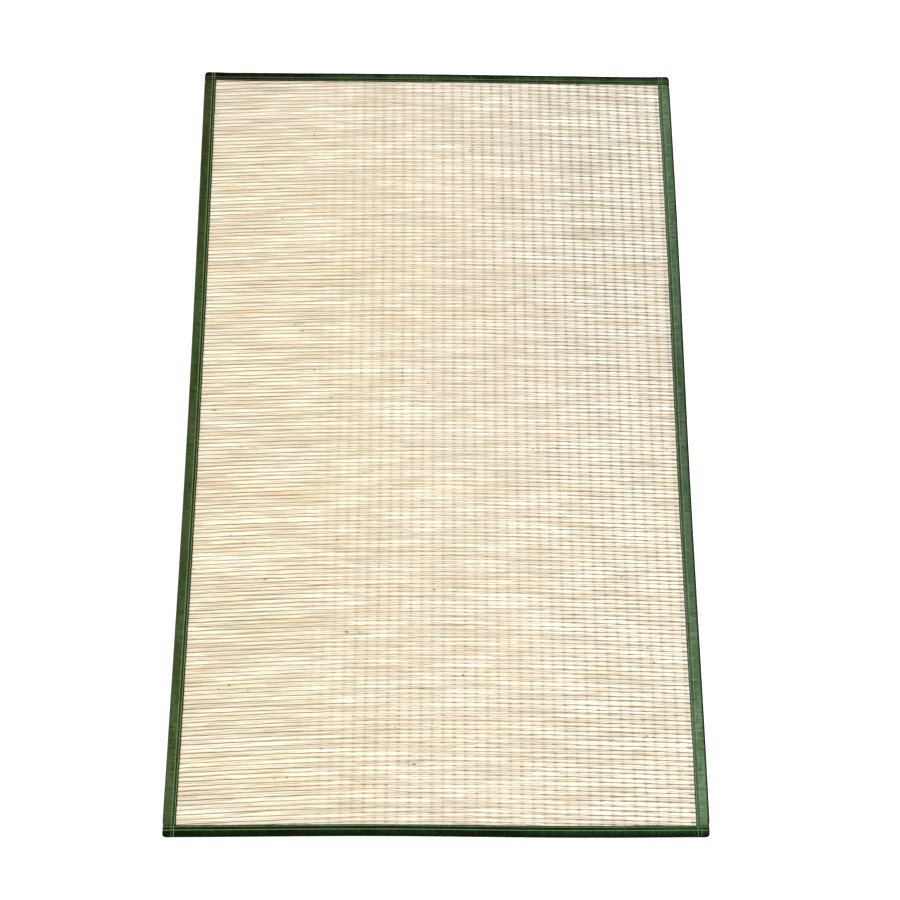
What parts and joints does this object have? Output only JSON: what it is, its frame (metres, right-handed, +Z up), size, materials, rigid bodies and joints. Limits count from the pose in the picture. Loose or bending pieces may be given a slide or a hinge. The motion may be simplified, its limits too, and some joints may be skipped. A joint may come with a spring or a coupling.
{
  "type": "rush mat",
  "caption": "Flat rectangular floor mat of flattened rush stems bound by fine threads, edged all round with folded and stitched green cloth tape.",
  "frame": {"origin": "middle of the mat's outline, on the surface that it lies on", "axes": "+X across the mat along its stems, +Y along its length to the edge that is furthest off in the picture, +Z up"},
  "size_m": [0.5922, 0.9166, 0.0062],
  "materials": {
    "rush": "dry flattened rush stems, pale cream with tan and grey lines between them",
    "tape": "dark green woven cloth tape with a soft satin sheen"
  },
  "bodies": {
    "root": {"rush_panel": "rush", "side_binding_left": "tape", "side_binding_right": "tape", "end_binding_near": "tape", "end_binding_far": "tape"}
  },
  "joints": []
}
